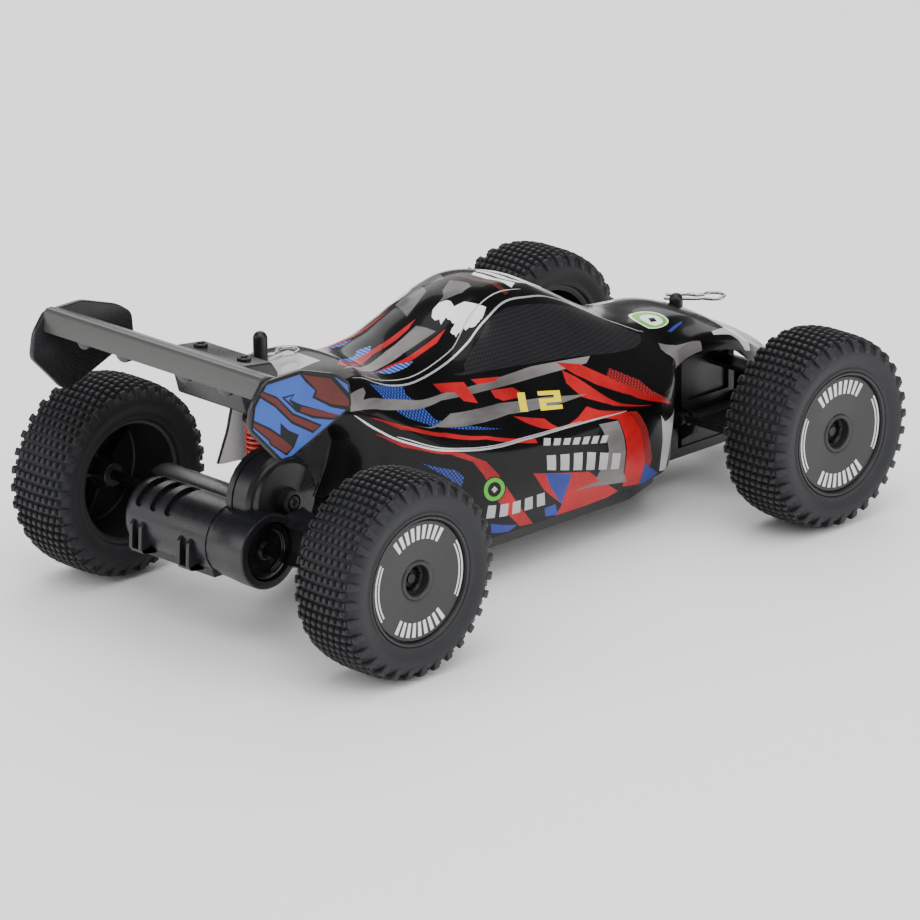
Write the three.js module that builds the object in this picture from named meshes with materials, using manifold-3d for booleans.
// Radio-controlled off-road buggy, two-wheel drive, small toy-grade class.
// Millimetres. +Z up, nose towards -Y, +X is the car's left.
// Origin on the ground under the middle of the wheelbase.
import * as THREE from 'three';
import { mergeVertices } from 'three/addons/utils/BufferGeometryUtils.js';
import Module from 'manifold-3d';

const wasm = await Module();
wasm.setup();

// ---- driving dimensions ----
const HALF_LENGTH = 129.5;
const TYRE_R = 30;             // over the knob tips
const TYRE_BODY_R = 28.6;      // carcass under the knobs
const TYRE_HALF_WIDTH = 12.3;
const RIM_R = 19.1;            // rim lip
const RIM_FACE = 11.1;         // outer face of the rim, outboard of the wheel mid-plane
const AXLE_BORE_R = 1.75;      // through rim and wheel nut
const WHEEL_X = 61.3;          // wheel mid-plane from the centreline
const AXLE_Y = 88;             // half the wheelbase
const AXLE_Z = TYRE_R;

// axes across the car, as [y, z]
const FRONT_AXLE = [-AXLE_Y, AXLE_Z];
const REAR_AXLE = [AXLE_Y, AXLE_Z];
const MOTOR = [100, 29.5];
const IDLER = [88.5, 41];
const SWING = [52, 22];        // pivot of the rear drive unit
const DAMPER_Y = 81;
const DAMPER_TOP = [DAMPER_Y, 65];
const DAMPER_FOOT = [DAMPER_Y, 40];

// upright axes, as [x, y]
const DAMPER_X = 1.6;
const DAMPER = [DAMPER_X, DAMPER_Y];
const REAR_POST = [0, 81.7];
const FRONT_POST = [0, -91.2];
const DOOR_SCREW = [0, 16];

// front suspension and steering
const ARM_X = 15;              // front arm pivot
const ARM_Z = 22;
const KING_X = 44;             // kingpin
const LINK_Y = -76;            // steering link
const LINK_Z = 24;
const HORN = [0, -64];
const STEER_ARM_Y = -AXLE_Y + 10;   // joint of tie rod and knuckle
const SPRING_X = 24;
const SPRING_Y = -99;

const FLOOR_Z = 10;
const FLOOR_TOP = FLOOR_Z + 3;
const MOUNT_Z = FLOOR_TOP + 0.3;    // underside of what stands on the floor
const TUB_TOP = 20;
const REAR_CLIP_Z = 77.4;
const FRONT_CLIP_Z = 55.2;
const WING_X = 46.3;           // mid-plane of the wing end plates
const WING_SCREW_X = 9.2;
const WING_SCREW_Y = 96.5;

const MATERIALS = {
  black: { color: 0x1b1c1e, roughness: 0.62 },
  chassis: { color: 0x222325, roughness: 0.7 },
  rubber: { color: 0x26272a, roughness: 0.85 },
  rim: { color: 0x1d1e20, roughness: 0.5 },
  body: { color: 0x0c0c0f, roughness: 0.12 },
  steel: { color: 0xb9bcc0, roughness: 0.3, metalness: 1 },
  red: { color: 0xb51f22, roughness: 0.35 },
  board: { color: 0x1f5a34, roughness: 0.5 },
  cell: { color: 0x2a3f8f, roughness: 0.5 },
  gear: { color: 0xd9d6cc, roughness: 0.5 },
  brass: { color: 0xb08d3c, roughness: 0.35, metalness: 1 },
  gloss: { color: 0x08080a, roughness: 0.1 },
  wing: { color: 0x2a2b2d, roughness: 0.45 },
};

// ================= ranges, sides and outlines =================
const around = (centre, half) => [centre - half, centre + half];
// x range between two distances from the centreline, on side 1 (left) or -1 (right)
const outboard = (side, near, far) => (side > 0 ? [near, far] : [-far, -near]);
const onSide = (side, outline) => outline.map(([x, other]) => [side * x, other]);
const mirrored = (half) => [...half, ...onSide(-1, half).reverse()];
// what a function makes for the left, then the right side, as one list
const both = (make) => [make(1, 'left'), make(-1, 'right')].flat();

// ================= solids =================
// Welded solid from a three.js geometry, without collapsed triangles
function solid(source) {
  const bare = new THREE.BufferGeometry();
  bare.setAttribute('position', source.getAttribute('position').clone());
  bare.setIndex(source.index ? source.index.clone() : null);
  const welded = mergeVertices(bare, 1e-4);
  const corners = welded.index.array;
  const triangles = [];
  for (let i = 0; i < corners.length; i += 3) {
    const [a, b, c] = corners.slice(i, i + 3);
    if (a !== b && b !== c && a !== c) triangles.push(a, b, c);
  }
  return new wasm.Manifold(new wasm.Mesh({
    numProp: 3,
    vertProperties: new Float32Array(welded.getAttribute('position').array),
    triVerts: new Uint32Array(triangles),
  }));
}

const join = (...parts) => parts.reduce((whole, part) => whole.add(part));
const cut = (body, ...tools) => tools.reduce((rest, tool) => rest.subtract(tool), body);

function box([x0, x1], [y0, y1], [z0, z1]) {
  const block = new THREE.BoxGeometry(x1 - x0, y1 - y0, z1 - z0);
  return solid(block.translate((x0 + x1) / 2, (y0 + y1) / 2, (z0 + z1) / 2));
}

// round rods along each axis
function rodX([x0, x1], [y, z], radius, facets = 10) {
  const rod = new THREE.CylinderGeometry(radius, radius, x1 - x0, facets);
  return solid(rod.rotateZ(-Math.PI / 2).translate((x0 + x1) / 2, y, z));
}
function rodY([y0, y1], [x, z], radius, facets = 10) {
  const rod = new THREE.CylinderGeometry(radius, radius, y1 - y0, facets);
  return solid(rod.translate(x, (y0 + y1) / 2, z));
}
function rodZ([z0, z1], [x, y], radius, facets = 10, topRadius = radius) {
  const rod = new THREE.CylinderGeometry(topRadius, radius, z1 - z0, facets);
  return solid(rod.rotateX(Math.PI / 2).translate(x, y, (z0 + z1) / 2));
}

// Profile of [radius, distance outboard of x], turned about an axis along X.
// Its outermost wall runs outboard, so that the faces point outwards.
function turnX(profile, segments, [y, z], x = 0, side = 1) {
  const points = profile.map(([radius, along]) => new THREE.Vector2(radius, along));
  if (points[0].x > 0) points.push(points[0].clone());   // close it when it stays off the axis
  const turned = new THREE.LatheGeometry(points, segments).rotateZ(-Math.PI / 2);
  if (side < 0) turned.rotateY(Math.PI);
  return solid(turned.translate(x, y, z));
}

function extrude(outline, [from, to]) {
  const shape = new THREE.Shape(outline.map(([a, b]) => new THREE.Vector2(a, b)));
  return new THREE.ExtrudeGeometry(shape, { depth: to - from, bevelEnabled: false });
}
// outline in (y, z) pushed along X
function plateX(outline, range) {
  const turn = new THREE.Matrix4().set(0, 0, 1, range[0], 1, 0, 0, 0, 0, 1, 0, 0, 0, 0, 0, 1);
  return solid(extrude(outline, range).applyMatrix4(turn));
}
// outline in (x, z) pushed along Y
function plateY(outline, range) {
  const turn = new THREE.Matrix4().set(1, 0, 0, 0, 0, 0, -1, range[1], 0, 1, 0, 0, 0, 0, 0, 1);
  return solid(extrude(outline, range).applyMatrix4(turn));
}
// outline in (x, y) pushed along Z
const plateZ = (outline, range) => solid(extrude(outline, range).translate(0, 0, range[0]));

// four-sided wire along a curve
function wire(curve, radius, steps) {
  const section = new THREE.Shape([0, 1, 2, 3].map((quarter) => {
    const angle = quarter * Math.PI / 2;
    return new THREE.Vector2(radius * Math.cos(angle), radius * Math.sin(angle));
  }));
  section.closePath();
  return solid(new THREE.ExtrudeGeometry(section, {
    steps, extrudePath: curve, bevelEnabled: false, curveSegments: 1,
  }));
}
class Coil extends THREE.Curve {
  constructor([x, y], [z0, z1], radius, turns) {
    super();
    Object.assign(this, { x, y, z0, z1, radius, turns });
  }
  getPoint(t, point = new THREE.Vector3()) {
    const angle = t * this.turns * Math.PI * 2;
    return point.set(
      this.x + this.radius * Math.cos(angle),
      this.y + this.radius * Math.sin(angle),
      this.z0 + (this.z1 - this.z0) * t,
    );
  }
}

// Toothed disc about X. A tooth is centred on angle phase (0 is +Y, turning towards +Z);
// tipShare is half the tip's width as a share of the tooth pitch.
function toothedDisc(range, [y, z], { teeth, root, tip, tipShare, phase }) {
  const rootShare = 0.3;
  const pitch = (Math.PI * 2) / teeth;
  const outline = [];
  for (let i = 0; i < teeth; i++) {
    const corners = [[root, -rootShare], [tip, -tipShare], [tip, tipShare], [root, rootShare]];
    for (const [radius, share] of corners) {
      const angle = phase + (i + share) * pitch;
      outline.push([y + radius * Math.cos(angle), z + radius * Math.sin(angle)]);
    }
  }
  return plateX(outline, range);
}

// the two bars of a cross slot in a screw head that faces up or down
const crossSlot = ([x, y], z, halfLength, halfWidth) => [
  box(around(x, halfLength), around(y, halfWidth), z),
  box(around(x, halfWidth), around(y, halfLength), z),
];

const group = new THREE.Group();
// Adds a solid as a named mesh, with its origin moved to the given point
function add(name, material, part, origin = [0, 0, 0]) {
  const { vertProperties, triVerts } = part.getMesh();
  const surface = new THREE.BufferGeometry();
  surface.setAttribute('position', new THREE.BufferAttribute(new Float32Array(vertProperties), 3));
  surface.setIndex(new THREE.BufferAttribute(new Uint32Array(triVerts), 1));
  surface.translate(...origin.map((v) => -v));
  const mesh = new THREE.Mesh(surface, new THREE.MeshStandardMaterial(MATERIALS[material]));
  mesh.name = name;
  mesh.position.set(...origin);
  group.add(mesh);
}

// ================= chassis =================
{
  // half plans, as [x, y]
  const outer = [[20, 58], [27, 50], [27.5, 20], [27.5, -42], [22, -58], [12, -70], [12, -106]];
  const inner = [
    [18.5, 56], [25, 49], [25.5, 20], [25.5, -41], [20.5, -56], [10.2, -68.6], [10.2, -78],
  ];
  const pinEar = [[46, 12], [50, 27], [54, 27], [57, 12]];   // [y, z]
  const tray = cut(
    plateZ(mirrored(outer), [FLOOR_Z, TUB_TOP]),
    plateZ(mirrored(inner), [FLOOR_TOP, TUB_TOP + 1]),
    box(around(0, 13), [-107, -79.6], [FLOOR_TOP, TUB_TOP + 1]),
    box(around(0, 11), [-36, 20], [9, 14]),       // battery opening
    box([16, 21], [26, 34], [9, 14]),             // switch slot
  );
  const eared = cut(
    join(tray, ...both((side) => plateX(pinEar, outboard(side, 20.5, 23.5)))),
    rodX(around(0, 30), SWING, 1.25, 12),
    box(around(0, 20), [55, 59], [16, 21]),       // gap in the rear wall
  );
  const feet = both((side) => box(outboard(side, 14.5, 18.5), [56, 62], [FLOOR_Z, 16]));
  add('chassis_tub', 'chassis', join(eared, ...feet));
}
add('battery_door', 'chassis', cut(
  box(around(0, 10.7), [-35.7, 19.7], [FLOOR_Z, 12.2]),
  rodZ([9, 13], DOOR_SCREW, 1.5),
));
add('battery_door_screw', 'steel', cut(
  rodZ([9.6, 11], DOOR_SCREW, 1.2),
  ...crossSlot(DOOR_SCREW, [9, 10.1], 0.9, 0.2),
));
{
  const length = [-34, 18];
  add('battery_pack', 'cell', join(
    rodY(length, [-5, 18], 4.9, 12),
    rodY(length, [5, 18], 4.9, 12),
    box(around(0, 5), length, [14, 22]),
    box(around(0, 7), [17, 21], [15, 20]),
  ));
}
add('control_board', 'board', join(
  box([-17, 14], [25, 45], [14, 15.4]),
  box([-8, 2], [29, 39], [15, 18]),
  box([4, 12], [27, 33], [15, 17]),
  rodZ([15, 22], [-13, 41], 2.4),
  rodZ([15, 20], [-13, 30], 1.6),
  box([-16, -10], [24, 28], [15, 18]),
));
add('power_switch_housing', 'steel', box([14.8, 22.2], [24, 36], [14.6, 20]));
add('power_switch_slider', 'black', join(
  box([16.4, 20.6], [27, 31], [9.2, 13.4]),
  box([15.2, 21.8], [26, 32], [13.2, 14.3]),
));

// ================= steering =================
add('steering_servo', 'black', cut(
  join(
    box(around(0, 13), [-62, -41], [MOUNT_Z, 20.9]),
    rodZ([20.5, 21.2], [0, HORN[1] + 4], 3.5, 12),
    box(around(0, 6), [-70, -60], [MOUNT_Z, 20.5]),
  ),
  rodZ([18, 25], HORN, 1.7, 12),
));
{
  // horn turns on a vertical shaft and carries a drive pin at its front end
  const armZ = [21.6, 22.3];
  const halfWidth = 1.7;
  add('servo_horn', 'black', join(
    rodZ([21.6, 25.5], HORN, 3, 12),
    rodZ([18.6, 22], HORN, 1.4, 12),
    box(around(0, halfWidth), [LINK_Y, HORN[1]], armZ),
    rodZ(armZ, [0, LINK_Y], halfWidth),
    rodZ([22, 25.8], [0, LINK_Y], 0.9),
  ));
}
{
  // bar with a slot for the horn's pin and a drilled eye on each end
  const halfBar = 12.2;
  const halfDepth = 1.9;
  const barZ = around(LINK_Z, 1.2);
  const eyeY = [LINK_Y - halfDepth, LINK_Y - 0.4];
  const bar = cut(
    box(around(0, halfBar), around(LINK_Y, halfDepth), barZ),
    box(around(0, 1.1), [LINK_Y - 1.3, LINK_Y + 5], around(LINK_Z, 3)),
  );
  const eyes = both((side) => [
    rodY(eyeY, [side * ARM_X, LINK_Z], 2),
    box(outboard(side, 12, ARM_X), eyeY, barZ),
  ]);
  const holes = both((side) => rodY([LINK_Y - 3, LINK_Y + 0.5], [side * ARM_X, LINK_Z], 0.95));
  add('steering_link', 'black', cut(join(bar, ...eyes), ...holes));
}
function tieRod(side) {
  const linkEnd = [side * ARM_X, LINK_Z];
  const knuckleEnd = [side * KING_X, STEER_ARM_Y];
  const rodHeight = around(LINK_Z, 1);
  return cut(
    join(
      rodY([LINK_Y - 3.8, LINK_Y - 2.2], linkEnd, 2),
      rodY([LINK_Y - 3, LINK_Y - 0.6], linkEnd, 0.7),
      box(
        outboard(side, ARM_X + 1.2, KING_X - 2.8),
        [STEER_ARM_Y - 1.3, STEER_ARM_Y - 0.2],
        rodHeight,
      ),
      rodZ(rodHeight, knuckleEnd, 3.6, 12),
    ),
    rodZ(around(LINK_Z, 3), knuckleEnd, 2.3, 12),
  );
}
both((side, label) => add('tie_rod_' + label, 'black', tieRod(side)));

// ================= front suspension =================
const armPinBore = (side) => rodY([-110, -76], [side * ARM_X, ARM_Z], 1.15);
const kingpinBore = (side) => rodZ([10, 50], [side * KING_X, -AXLE_Y], 1.2);
{
  // box with a recess in each side, lugs for the arm pins and a nose column for the body post
  const front = -104.6;
  const rear = -81.2;
  const column = [[rear, 43], [-102, 43], [-95, 48], [-86, 49]];            // [y, z]
  const lug = [[11, 15], [11, 26.5], [16.5, 25], [18, 22], [16.5, 18.5]];   // [x, z]
  const block = cut(
    join(box(around(0, 12), [front, rear], [MOUNT_Z, 43]), plateX(column, around(0, 6))),
    ...both((side) => box(outboard(side, 10.6, 13), [-102, -84], [27.5, 40.5])),
  );
  const fittings = both((side) => [
    plateY(onSide(side, lug), [rear - 2, rear]),
    plateY(onSide(side, lug), [front, front + 2]),
    box(outboard(side, 10, 27.5), [-102.4, -95.6], [36.2, 37.8]),   // upper spring seat
  ]);
  add('front_bulkhead', 'chassis', cut(
    join(block, ...fittings),
    ...both(armPinBore),
    rodZ([40, 50], FRONT_POST, 1.35),
    box(around(0, 8), [-100, -86], [12, 38]),
  ));
}
both((side, label) => add('front_arm_pin_' + label, 'steel',
  rodY([-105.4, -80.6], [side * ARM_X, ARM_Z], 1)));

// lower arm with the two ears of the steering block
function frontArm(side) {
  const under = ARM_Z - 1.5;
  const earTop = 39.8;
  const earY = [-91.4, -84.6];
  const armPlan = [   // [x, y]
    [15.5, -101.8], [15.5, -84], [38, earY[1]], [38, earY[0]], [29, -102.2], [20, -102.2],
  ];
  const ears = [[under, ARM_Z + 0.7], [37.4, earTop]].flatMap((z) => [
    box(outboard(side, 36.6, KING_X), earY, z),
    rodZ(z, [side * KING_X, -AXLE_Y], 3.4, 12),
  ]);
  return cut(
    join(
      rodY([-102.3, -83.5], [side * ARM_X, ARM_Z], 2.6, 12),
      plateZ(onSide(side, armPlan), [under, ARM_Z + 1.2]),
      box(outboard(side, 36.6, 38.9), earY, [under, earTop]),
      ...ears,
      rodZ([ARM_Z + 1, ARM_Z + 3.6], [side * SPRING_X, SPRING_Y], 1.6),
    ),
    armPinBore(side),
    kingpinBore(side),
  );
}
both((side, label) => add('front_arm_' + label, 'chassis', frontArm(side)));

both((side, label) => add('kingpin_' + label, 'steel', join(
  rodZ([20.2, 40.4], [side * KING_X, -AXLE_Y], 1),
  rodZ([40.1, 41.2], [side * KING_X, -AXLE_Y], 1.9),
)));

// upright with the stub axle and a steering arm to the rear
function steeringKnuckle(side) {
  const x = side * KING_X;
  const armZ = [26.2, 28.4];
  return cut(
    join(
      rodZ([23, 37], [x, -AXLE_Y], 3.6, 12),
      rodX(outboard(side, KING_X + 2, 49), FRONT_AXLE, 3.2, 12),
      rodX(outboard(side, KING_X + 2, 68.4), FRONT_AXLE, 1.5, 12),
      box(around(x, 1.6), [-AXLE_Y, STEER_ARM_Y], armZ),
      rodZ(armZ, [x, STEER_ARM_Y], 1.6),
      rodZ([22.4, 27], [x, STEER_ARM_Y], 1),
    ),
    kingpinBore(side),
  );
}
both((side, label) => add('steering_knuckle_' + label, 'black', steeringKnuckle(side)));

both((side, label) => add('front_spring_' + label, 'red',
  wire(new Coil([side * SPRING_X, SPRING_Y], [24.2, 35.3], 2.7, 4.5), 0.45, 50)));
{
  // broad shovel on two ribs below the nose
  const shovel = [[9, -107.5], [15, -112], [26, -122], [24, -127.5], [12, -HALF_LENGTH]];  // [x, y]
  const upright = [[24, 12], [22, 24], [10, 27]];                                         // [x, z]
  add('front_bumper', 'black', join(
    plateZ(mirrored(shovel), [12, 14.6]),
    plateY(mirrored(upright), [-127.4, -125.2]),
    ...both((side) => box(around(side * 7, 1.2), [-126.4, -107.5], [13, 23])),
    box(around(0, 9), [-109, -106.4], [12, 24]),
  ));
}

// ================= rear tower =================
{
  // outlines as [y, z]
  const beam = [
    [62, 68.6], [88, 70], [100, 71.2], [100, 70], [89, 66.8], [85, 62.4], [77, 62.4], [73, 64.4],
    [62, 64],
  ];
  const strut = [[62.4, 10.4], [60.6, 58], [62, 68.6], [69, 68.6], [69, 10.4]];
  const wingPad = [[88, 70], [89, 77], [101, 79.2], [101, 71], [97, 69.5]];
  const tower = cut(
    join(
      plateX(beam, around(0, 7)),
      ...both((side) => plateX(strut, outboard(side, 15, 18))),
      box(around(0, 18), [62, 68.6], [60, 66]),   // bridge between the struts
      plateX(wingPad, around(0, 14.5)),
    ),
    ...both((side) => rodZ([74, 84], [side * WING_SCREW_X, WING_SCREW_Y], 0.9)),
    rodZ([67.8, 80], REAR_POST, 1.35),
    box(around(DAMPER_X, 2.6), [76.5, 85.5], [60, 67.5]),
  );
  add('rear_tower', 'chassis', join(tower, rodX(around(0, 7), DAMPER_TOP, 1.1)));
}
add('swing_pivot_pin', 'steel', rodX(around(0, 24.5), SWING, 1.05));

// ================= body shell =================
const SHELL_T = 1.1;
// Half sections from the centreline down to the free edge, one per station from rear to nose:
// y, then [x, z] of roof centre, roof edge, window foot, crease, side, lower edge
const STATIONS = [
  [85.5, [0, 72.8], [12.5, 72.7], [18.6, 71.2], [21.6, 62], [21.6, 51], [21, 41]],
  [74, [0, 74.6], [13, 74.3], [20, 71.8], [23.2, 63.2], [23.2, 51], [22.2, 39.6]],
  [66, [0, 75.5], [13, 75.1], [20.8, 72], [24.4, 62.4], [24.8, 50], [23.6, 37.5]],
  [60, [0, 75.7], [12.4, 75], [20.6, 71], [25.4, 61], [26.2, 48], [24.8, 34.5]],
  [55, [0, 74.2], [11.4, 72.6], [20.8, 68.8], [27, 58.8], [27.8, 45], [26.2, 31]],
  [50, [0, 73.6], [11, 71.2], [21, 66.6], [28.6, 56.4], [29.2, 42], [27.5, 27]],
  [38, [0, 75.8], [11, 72.2], [22, 62.8], [32, 49.6], [32.6, 34], [30.5, 19]],
  [26, [0, 80], [11.6, 75.8], [23, 61.6], [34.4, 45.2], [34.5, 30], [31.5, 15.4]],
  [13, [0, 84.8], [13, 80.2], [24, 60.4], [35.6, 42.6], [35.2, 28], [31.6, 14.8]],
  [0, [0, 86.6], [14.4, 82.2], [24.4, 59.4], [36, 41.4], [35.4, 28], [31.6, 14.8]],
  [-14, [0, 83.6], [15, 79.2], [24.4, 58.4], [36, 41], [35.2, 28], [31.4, 14.8]],
  [-28, [0, 76.8], [14.6, 72.8], [23.8, 57.2], [35.6, 41.2], [34.8, 28], [31, 14.9]],
  [-41, [0, 69], [13.8, 66], [22.6, 55.8], [34.6, 41.6], [34, 28.4], [30.4, 15]],
  [-50, [0, 64], [13, 61.6], [21.2, 54.8], [33, 42.2], [32.4, 29.4], [29.6, 15.3]],
  [-60.5, [0, 60.4], [12, 58.8], [19.2, 53.4], [29, 43.8], [28.6, 31.5], [26.8, 17.6]],
  [-63.5, [0, 59.9], [11.8, 58.4], [18.4, 53.2], [26.2, 45.6], [26, 36], [24.9, 25]],
  [-69, [0, 59.4], [11.2, 57.9], [17.2, 53.8], [22, 50], [21.8, 47], [21.4, 44]],
  [-78, [0, 58.6], [10.4, 57.2], [16.2, 54.4], [22.4, 52], [23.2, 49.4], [22.8, 46.8]],
  [-90, [0, 54.8], [10, 53.8], [16, 52.4], [22.6, 50.6], [23.8, 47.8], [23.2, 45.2]],
  [-101, [0, 48.8], [9.5, 48], [15.2, 46.6], [21.2, 44.4], [22.4, 41.6], [21.6, 38.8]],
  [-111, [0, 43.8], [8.5, 43], [13.4, 41.4], [17.8, 38.8], [18.6, 36], [17.8, 33.6]],
  [-119, [0, 38.6], [7.5, 38], [11.4, 36.6], [14.4, 34.4], [14.8, 32.6], [14, 30.8]],
  [-123.5, [0, 33.6], [6.5, 33.2], [9.5, 32.2], [11.4, 31], [11.6, 30], [11, 29]],
];
// The rear edge of each flank runs forward below the deck, then back towards its foot.
// [z, forward shift at the rear edge]; the shift fades out towards SWEEP_START.
const SWEEP = [[38, 3.5], [41, 4.5], [50, 9], [57, 11], [64, 8], [71, 1.5], [74, 0]];
const SWEEP_START = 56;

function sweptY(y, z) {
  const share = Math.max(0, (y - SWEEP_START) / (STATIONS[0][0] - SWEEP_START)) ** 1.6;
  const level = THREE.MathUtils.clamp(z, SWEEP[0][0], SWEEP.at(-1)[0]);
  const above = SWEEP.findIndex(([top], i) => i > 0 && level <= top);
  const [z0, shift0] = SWEEP[above - 1];
  const [z1, shift1] = SWEEP[above];
  return y - share * THREE.MathUtils.mapLinear(level, z0, z1, shift0, shift1);
}

// full section from the left free edge over the roof to the right free edge
function shellSection([y, ...half]) {
  const at = (side) => ([x, z]) => new THREE.Vector3(side * x, sweptY(y, z), z);
  return [...half.map(at(1)).reverse(), ...half.slice(1).map(at(-1))];
}

// each vertex moved in, within its own y, along the mean normal of the faces around it
function innerSkin(skin) {
  const normals = skin.map((row) => row.map(() => new THREE.Vector3()));
  for (let i = 0; i < skin.length - 1; i++) {
    for (let j = 0; j < skin[0].length - 1; j++) {
      const corners = [[i, j], [i + 1, j], [i + 1, j + 1], [i, j + 1]];
      const [a, b, c, d] = corners.map(([p, q]) => skin[p][q]);
      const normal = c.clone().sub(a).cross(d.clone().sub(b)).normalize();
      for (const [p, q] of corners) normals[p][q].add(normal);
    }
  }
  return skin.map((row, i) => row.map((vertex, j) => {
    const normal = normals[i][j].normalize();
    const middle = new THREE.Vector3(0, vertex.y, 30);
    if (normal.dot(vertex.clone().sub(middle)) < 0) normal.negate();
    normal.y *= 0.5;   // keeps the wall from thinning where the shell slopes lengthways
    normal.normalize();
    return vertex.clone().addScaledVector(normal, -SHELL_T).setY(vertex.y);
  }));
}

function bodyShell() {
  const skin = STATIONS.map(shellSection);
  const lastRow = skin.length - 1;
  const lastColumn = skin[0].length - 1;
  const out = (i, j) => i * skin[0].length + j;
  const inn = (i, j) => out(skin.length + i, j);
  const triangles = [];
  const quad = (a, b, c, d) => triangles.push(a, b, c, a, c, d);
  for (let i = 0; i < lastRow; i++) {
    for (let j = 0; j < lastColumn; j++) {
      quad(out(i, j), out(i, j + 1), out(i + 1, j + 1), out(i + 1, j));
      quad(inn(i, j), inn(i + 1, j), inn(i + 1, j + 1), inn(i, j + 1));
    }
  }
  // free edges left and right, then rear and front
  for (let i = 0; i < lastRow; i++) {
    const j = lastColumn;
    quad(out(i, 0), out(i + 1, 0), inn(i + 1, 0), inn(i, 0));
    quad(out(i, j), inn(i, j), inn(i + 1, j), out(i + 1, j));
  }
  for (let j = 0; j < lastColumn; j++) {
    const i = lastRow;
    quad(out(0, j), inn(0, j), inn(0, j + 1), out(0, j + 1));
    quad(out(i, j), out(i, j + 1), inn(i, j + 1), inn(i, j));
  }
  const vertices = [...skin, ...innerSkin(skin)].flat();
  const surface = new THREE.BufferGeometry();
  surface.setAttribute('position',
    new THREE.Float32BufferAttribute(vertices.flatMap((v) => v.toArray()), 3));
  surface.setIndex(triangles);
  return solid(surface);
}
add('body_shell', 'body', cut(
  bodyShell(),
  rodZ([65, 90], REAR_POST, 2.6, 12),
  rodZ([45, 65], FRONT_POST, 2.6, 12),
));

// posts stand through the shell; each has a cross hole for its clip
function bodyPost(centre, base, shoulder, spigot) {
  return join(
    rodZ([base, shoulder], centre, 2.15, 12),
    rodZ([shoulder, shoulder + 1.2], centre, 2.15, 12, 1.2),
    rodZ(spigot, centre, 1.1),
  );
}
add('rear_body_post', 'black', cut(
  bodyPost(REAR_POST, 70.2, 85.6, [68.2, 71]),
  rodY([75, 90], [0, REAR_CLIP_Z], 0.9),
));
add('front_body_post', 'black', cut(
  bodyPost(FRONT_POST, 49.2, 56.6, [43.5, 49.6]),
  rodX(around(0, 6), [FRONT_POST[1], FRONT_CLIP_Z], 0.75),
));

// R-shaped wire clip: a straight leg through the post and a bowed leg beside it, joined by a ring
const CLIP_PATH = [   // [along the straight leg, to the side]
  [-6, 0], [-2, 0], [3, 0], [7, 0], [10.2, 0.4], [12.4, 2.4], [11, 4.6], [7.6, 5], [4.6, 4],
  [2.6, 2.75], [0, 3.1], [-2.6, 2.75], [-5.4, 4.2],
];
function bodyClip([x, y], z, [dx, dy], slope) {
  const points = CLIP_PATH.map(([along, aside]) => new THREE.Vector3(
    x + dx * along - dy * aside,
    y + dy * along + dx * aside,
    z + slope * Math.max(0, along),
  ));
  return wire(new THREE.CatmullRomCurve3(points, false, 'centripetal'), 0.45, 32);
}
add('rear_body_clip', 'steel', bodyClip(REAR_POST, REAR_CLIP_Z, [0, -1], 0));
add('front_body_clip', 'steel', bodyClip(FRONT_POST, FRONT_CLIP_Z, [-1, 0], 0.072));

// ================= wing =================
{
  // outlines as [y, z]
  const blade = [
    [92, 79.4], [97, 82], [104, 85.4], [112, 89.4], [119, 92.6], [122.6, 93.5], [124, 92.4],
    [124.6, 86.4],                                                            // top
    [122.8, 86.4], [122.2, 90.8], [118.4, 90.4], [111, 87], [103.6, 83.2], [97, 80],
    [92.4, 78],                                                               // underside
  ];
  const endPlate = [
    [123.6, 92.4], [109.5, 92.6], [95.8, 88.2], [90.6, 84.6], [90, 77], [96, 74.4],
    [113.5, 67.4], [118, 67.4], [HALF_LENGTH, 79.4], [128.2, 86.6],
  ];
  const pad = [[91.4, 79.7], [92.6, 83.2], [101, 84.9], [102.5, 82.5], [101.4, 79.8]];
  const rib = [[118, 90.8], [123, 90.8], [123.4, 84.6], [120, 83.4], [116, 85.6], [113, 87.5]];
  add('rear_wing', 'wing', cut(
    join(
      plateX(blade, around(0, WING_X)),
      ...both((side) => plateX(endPlate, around(side * WING_X, 0.9))),
      plateX(pad, around(0, 14.5)),
      ...[-30, -13, 13, 30].map((x) => plateX(rib, around(x, 2.4))),
    ),
    ...both((side) => [
      rodZ([76, 90], [side * WING_SCREW_X, WING_SCREW_Y], 1.45),
      rodZ([82.6, 90], [side * WING_SCREW_X, WING_SCREW_Y], 2.6),
    ]),
  ));
}
both((side, label) => {
  const centre = [side * WING_SCREW_X, WING_SCREW_Y];
  add('wing_screw_' + label, 'steel', cut(
    join(rodZ([82.9, 84.6], centre, 2.1, 12), rodZ([75, 83], centre, 0.75)),
    ...crossSlot(centre, [83.8, 86], 1.2, 0.3),
  ));
});

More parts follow.
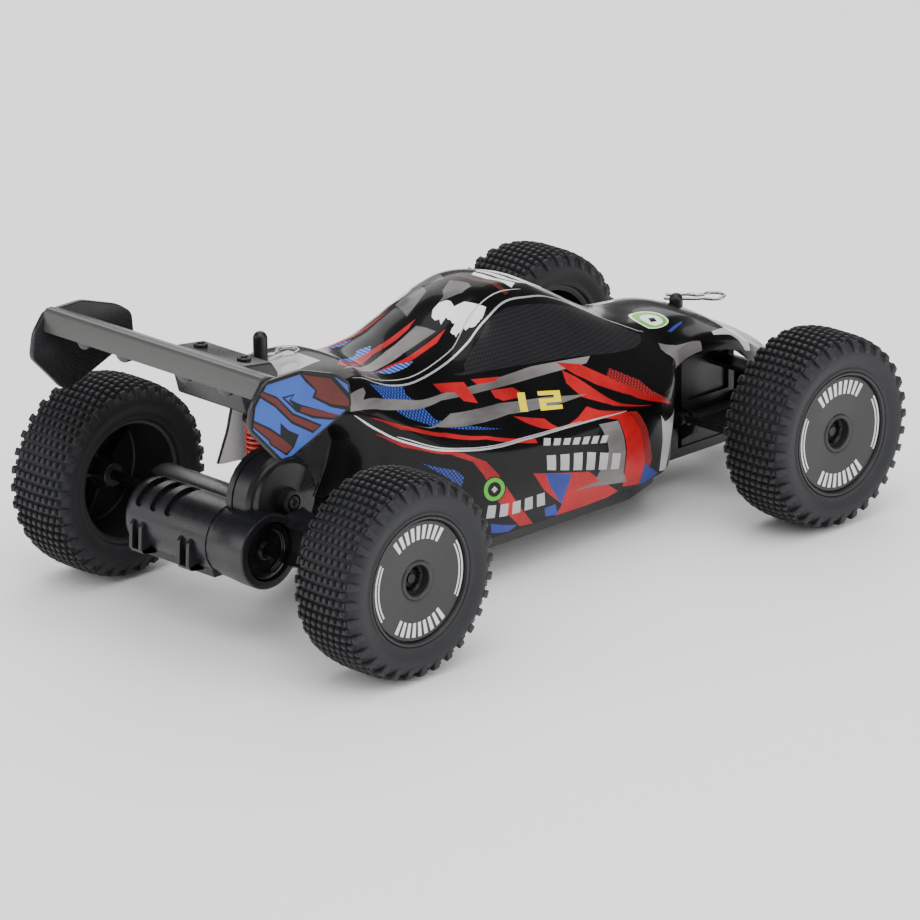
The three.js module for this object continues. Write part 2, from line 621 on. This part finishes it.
// ================= rear drive unit =================
{
  // cover wall of the gear drum, left axle housing, swing arm and damper foot
  const wall = [-8.6, -6.4];
  const armX = [-8.4, 13];
  const damperFoot = [[76, 30], [77.6, 42], [84.4, 42], [87, 36]];   // [y, z]
  const gearCase = cut(
    join(
      rodX(wall, IDLER, 13.8, 24),
      rodX([wall[0], 37], REAR_AXLE, 9, 18),
      rodX(wall, MOTOR, 10.6, 20),
      box(armX, [56, 84], [17.5, 29]),
      rodX(around(0, 17.8), SWING, 4.2, 14),
      box(armX, [51, 57], [18, 26]),
      plateX(damperFoot, around(DAMPER_X, 4.2)),
      rodX([-16, wall[1]], IDLER, 1),             // idler pin
    ),
    rodX(around(0, 25), SWING, 1.25, 12),
    rodX([-20, 45], REAR_AXLE, 2.6, 14),
    rodX([-4, 30], REAR_AXLE, 7, 18),
    rodX([-20, -3], MOTOR, 1.6, 12),
    box(around(DAMPER_X, 2.6), around(DAMPER_Y, 3.1), [37.3, 45]),
    rodX([-5.6, 40], MOTOR, 11.1, 20),
  );
  add('gear_case_left', 'black', join(gearCase, rodX(around(DAMPER_X, 3), DAMPER_FOOT, 0.8)));
}
{
  // gear drum, motor end ring, right axle housing and the idler boss
  const joint = -8.9;
  const drum = [-17.5, joint];
  const cavity = [-16.2, -8];
  add('gear_case_right', 'black', cut(
    join(
      rodX(drum, IDLER, 13.4, 24),
      rodX(drum, REAR_AXLE, 10.4, 20),
      rodX([-22.5, joint], MOTOR, 10.8, 20),
      rodX([-40, -17], REAR_AXLE, 8.8, 18),
      rodX([-20.4, -17], IDLER, 3.7, 14),
    ),
    rodX(cavity, IDLER, 12.5, 24),
    rodX(cavity, REAR_AXLE, 8.9, 20),
    rodX(cavity, MOTOR, 8.9, 18),
    rodX([-50, -8], REAR_AXLE, 2.6, 14),
    rodX([-30, -18.4], MOTOR, 8.9, 20),           // seat of the tube cap
    rodX([-25, -18.8], IDLER, 2.5, 14),           // seat of the case screw
    rodX([-50, -33.5], REAR_AXLE, 7, 18),
  ));
}
{
  // closed rounded left end, three slots on top, two latch hooks and a flat keel
  const [y, z] = MOTOR;
  const profile = [   // [radius, x]
    [0, 26.6], [8.6, 26], [9.4, 23], [9.4, -5.2], [10.8, -5.2], [10.8, 24], [10.6, 26],
    [8.6, 28.6], [5, 30], [0, 30],
  ];
  const slots = [1, 10.5, 20].map((x) => box(around(x, 1.4), [y + 1, y + 13], [z + 4.4, z + 12]));
  const hooks = [1.5, 22].map((x) => cut(
    box(around(x, 2.6), [y + 8.4, y + 12.4], [z - 7.4, z + 0.6]),
    box(around(x, 1.4), [y + 10.8, y + 14], [z - 4.6, z + 2]),
  ));
  const keel = box([-5.2, 24], [y - 4, y + 5], [z - 12.2, z - 9.8]);
  add('motor_tube', 'black', cut(
    join(cut(join(turnX(profile, 28, MOTOR), keel), ...slots), ...hooks),
    rodX([-6, 23], MOTOR, 9.4, 20),
    rodX([-8, 45], REAR_AXLE, 9.4, 18),
  ));
}
add('motor_can', 'steel', cut(
  rodX([-4.9, 22], MOTOR, 8.9, 18),
  rodX([-8, 45], REAR_AXLE, 9.7, 18),
  rodX([-6, 4], MOTOR, 1.5, 12),
));
add('motor_tube_cap', 'gloss', join(
  cut(rodX([-21.6, -18.7], MOTOR, 8.5, 18), rodX([-23, -20.4], MOTOR, 6.4, 18)),
  rodX([-21.2, -20], MOTOR, 2.6, 12),
));
{
  const slotX = [-21, -19.9];
  const [y, z] = IDLER;
  add('gear_case_screw', 'steel', cut(
    rodX([-20.3, -19.1], IDLER, 2.1, 12),
    box(slotX, around(y, 1.3), around(z, 0.3)),
    box(slotX, around(y, 0.3), around(z, 1.3)),
  ));
}

// ---- gears ----
// Module and phases that let a wheel on one axis mesh with a second wheel on another
function meshing([y0, z0], [y1, z1], teeth, secondTeeth) {
  const angle = Math.atan2(z1 - z0, y1 - y0);
  return {
    module: (2 * Math.hypot(z1 - z0, y1 - y0)) / (teeth + secondTeeth),
    first: angle,
    second: angle + Math.PI + Math.PI / secondTeeth,
  };
}
function gear(range, axis, teeth, module, phase) {
  const pitchRadius = (teeth / 2) * module;
  const root = pitchRadius - 0.98 * module;
  const tip = pitchRadius + 0.72 * module;
  return toothedDisc(range, axis, { teeth, root, tip, tipShare: 0.11, phase });
}
{
  const TEETH = { axle: 20, idlerSmall: 8, idlerLarge: 24, motor: 22 };
  const slow = meshing(REAR_AXLE, IDLER, TEETH.axle, TEETH.idlerSmall);
  const fast = meshing(IDLER, MOTOR, TEETH.idlerLarge, TEETH.motor);
  const slowX = [-15.7, -13.4];
  const fastX = [-12.9, -10.2];
  add('axle_gear', 'gear', cut(
    gear(slowX, REAR_AXLE, TEETH.axle, slow.module, slow.first),
    rodX([-17, -10], REAR_AXLE, 1.8, 12),
  ), [-14.5, ...REAR_AXLE]);
  add('idler_gear', 'gear', cut(
    join(
      gear(fastX, IDLER, TEETH.idlerLarge, fast.module, fast.first),
      gear([slowX[0], -12.7], IDLER, TEETH.idlerSmall, slow.module, slow.second),
    ),
    rodX([-17, -9], IDLER, 1.3),
  ), [-13, ...IDLER]);
  add('motor_pinion', 'brass', join(
    gear(fastX, MOTOR, TEETH.motor, fast.module, fast.second),
    rodX([-10.3, 3], MOTOR, 1),
  ), [-11.5, ...MOTOR]);
}
add('rear_axle_shaft', 'steel', rodX(around(0, 68.4), REAR_AXLE, 1.5, 12));

// ---- damper: cylinder hung from the beam, rod with its foot on the case, coil over both ----
const DAMPER_EYE_X = around(DAMPER_X, 2.2);
add('rear_damper_body', 'black', cut(
  join(
    rodX(DAMPER_EYE_X, DAMPER_TOP, 2.2),
    box(DAMPER_EYE_X, around(DAMPER_Y, 1.6), [60.6, 64.4]),
    rodZ([50.5, 61], DAMPER, 2.6, 12),
    rodZ([59.4, 60.8], DAMPER, 5.2, 12),          // upper spring flange
  ),
  rodX([-6, 8], DAMPER_TOP, 1.3),
  rodZ([49, 57.6], DAMPER, 1.4, 12),
));
add('rear_damper_rod', 'steel', cut(
  join(
    rodZ([42, 56], DAMPER, 1.1, 12),
    rodZ([43.6, 44.8], DAMPER, 5.2, 12),          // lower spring flange
    rodX(DAMPER_EYE_X, DAMPER_FOOT, 2.1),
    box(around(DAMPER_X, 1.5), around(DAMPER_Y, 1.4), [40.5, 44]),
  ),
  rodX([-6, 8], DAMPER_FOOT, 1.1),
));
add('rear_spring', 'red', wire(new Coil(DAMPER, [45.6, 58.6], 4.2, 6), 0.5, 66));

// ================= wheels =================
// barrel, dished outer disc and hub in one moulding
function rim(axis, side) {
  const barrelEdge = -TYRE_HALF_WIDTH + 2.2;
  const profile = [   // [radius, outboard of the mid-plane]
    [AXLE_BORE_R, -4], [6, -4], [6, 7.4], [17.2, 7.4], [17.4, barrelEdge], [RIM_R, barrelEdge],
    [RIM_R, RIM_FACE - 0.3], [RIM_R - 0.7, RIM_FACE], [4.5, 9.4], [4.5, 3.2], [AXLE_BORE_R, 3.2],
  ];
  return turnX(profile, 24, axis, side * WHEEL_X, side);
}

// carcass with two rows of knobs, staggered by half a knob
function tyre(axis, side) {
  const centreX = side * WHEEL_X;
  const knobs = 18;
  const tipShare = 0.24;
  const knobPitch = (Math.PI * 2) / knobs;
  const outerHalf = [   // [radius, outboard of the mid-plane], tread to bead
    [TYRE_BODY_R, TYRE_HALF_WIDTH - 3], [27.2, TYRE_HALF_WIDTH - 1], [24.6, TYRE_HALF_WIDTH],
    [21.4, TYRE_HALF_WIDTH - 0.5], [19.6, TYRE_HALF_WIDTH - 1.6],
  ];
  const innerHalf = outerHalf.map(([radius, along]) => [radius, -along]).reverse();
  const rows = [[-10.2, -0.5], [0.5, 10.2]].map(([from, to], row) => cut(
    toothedDisc([centreX + from, centreX + to], axis, {
      teeth: knobs,
      root: 27.3,
      tip: TYRE_R / Math.cos(tipShare * knobPitch),
      tipShare,
      phase: row * 0.5 * knobPitch,
    }),
    rodX([centreX + from - 1, centreX + to + 1], axis, 27.2, 18),
  ));
  return join(turnX([...innerHalf, ...outerHalf], 24, axis, centreX), ...rows);
}

function wheelNut(axis, side) {
  const near = WHEEL_X + 3.6;
  const far = WHEEL_X + 6.4;
  return cut(
    rodX(outboard(side, near, far), axis, 3.3, 6),
    rodX(outboard(side, near - 1, far + 1), axis, AXLE_BORE_R),
  );
}

for (const [end, axis] of [['front', FRONT_AXLE], ['rear', REAR_AXLE]]) {
  both((side, label) => {
    const origin = [side * WHEEL_X, ...axis];
    add(`${end}_rim_${label}`, 'rim', rim(axis, side), origin);
    add(`${end}_tyre_${label}`, 'rubber', tyre(axis, side), origin);
    add(`${end}_wheel_nut_${label}`, 'steel', wheelNut(axis, side), origin);
  });
}

export default group;
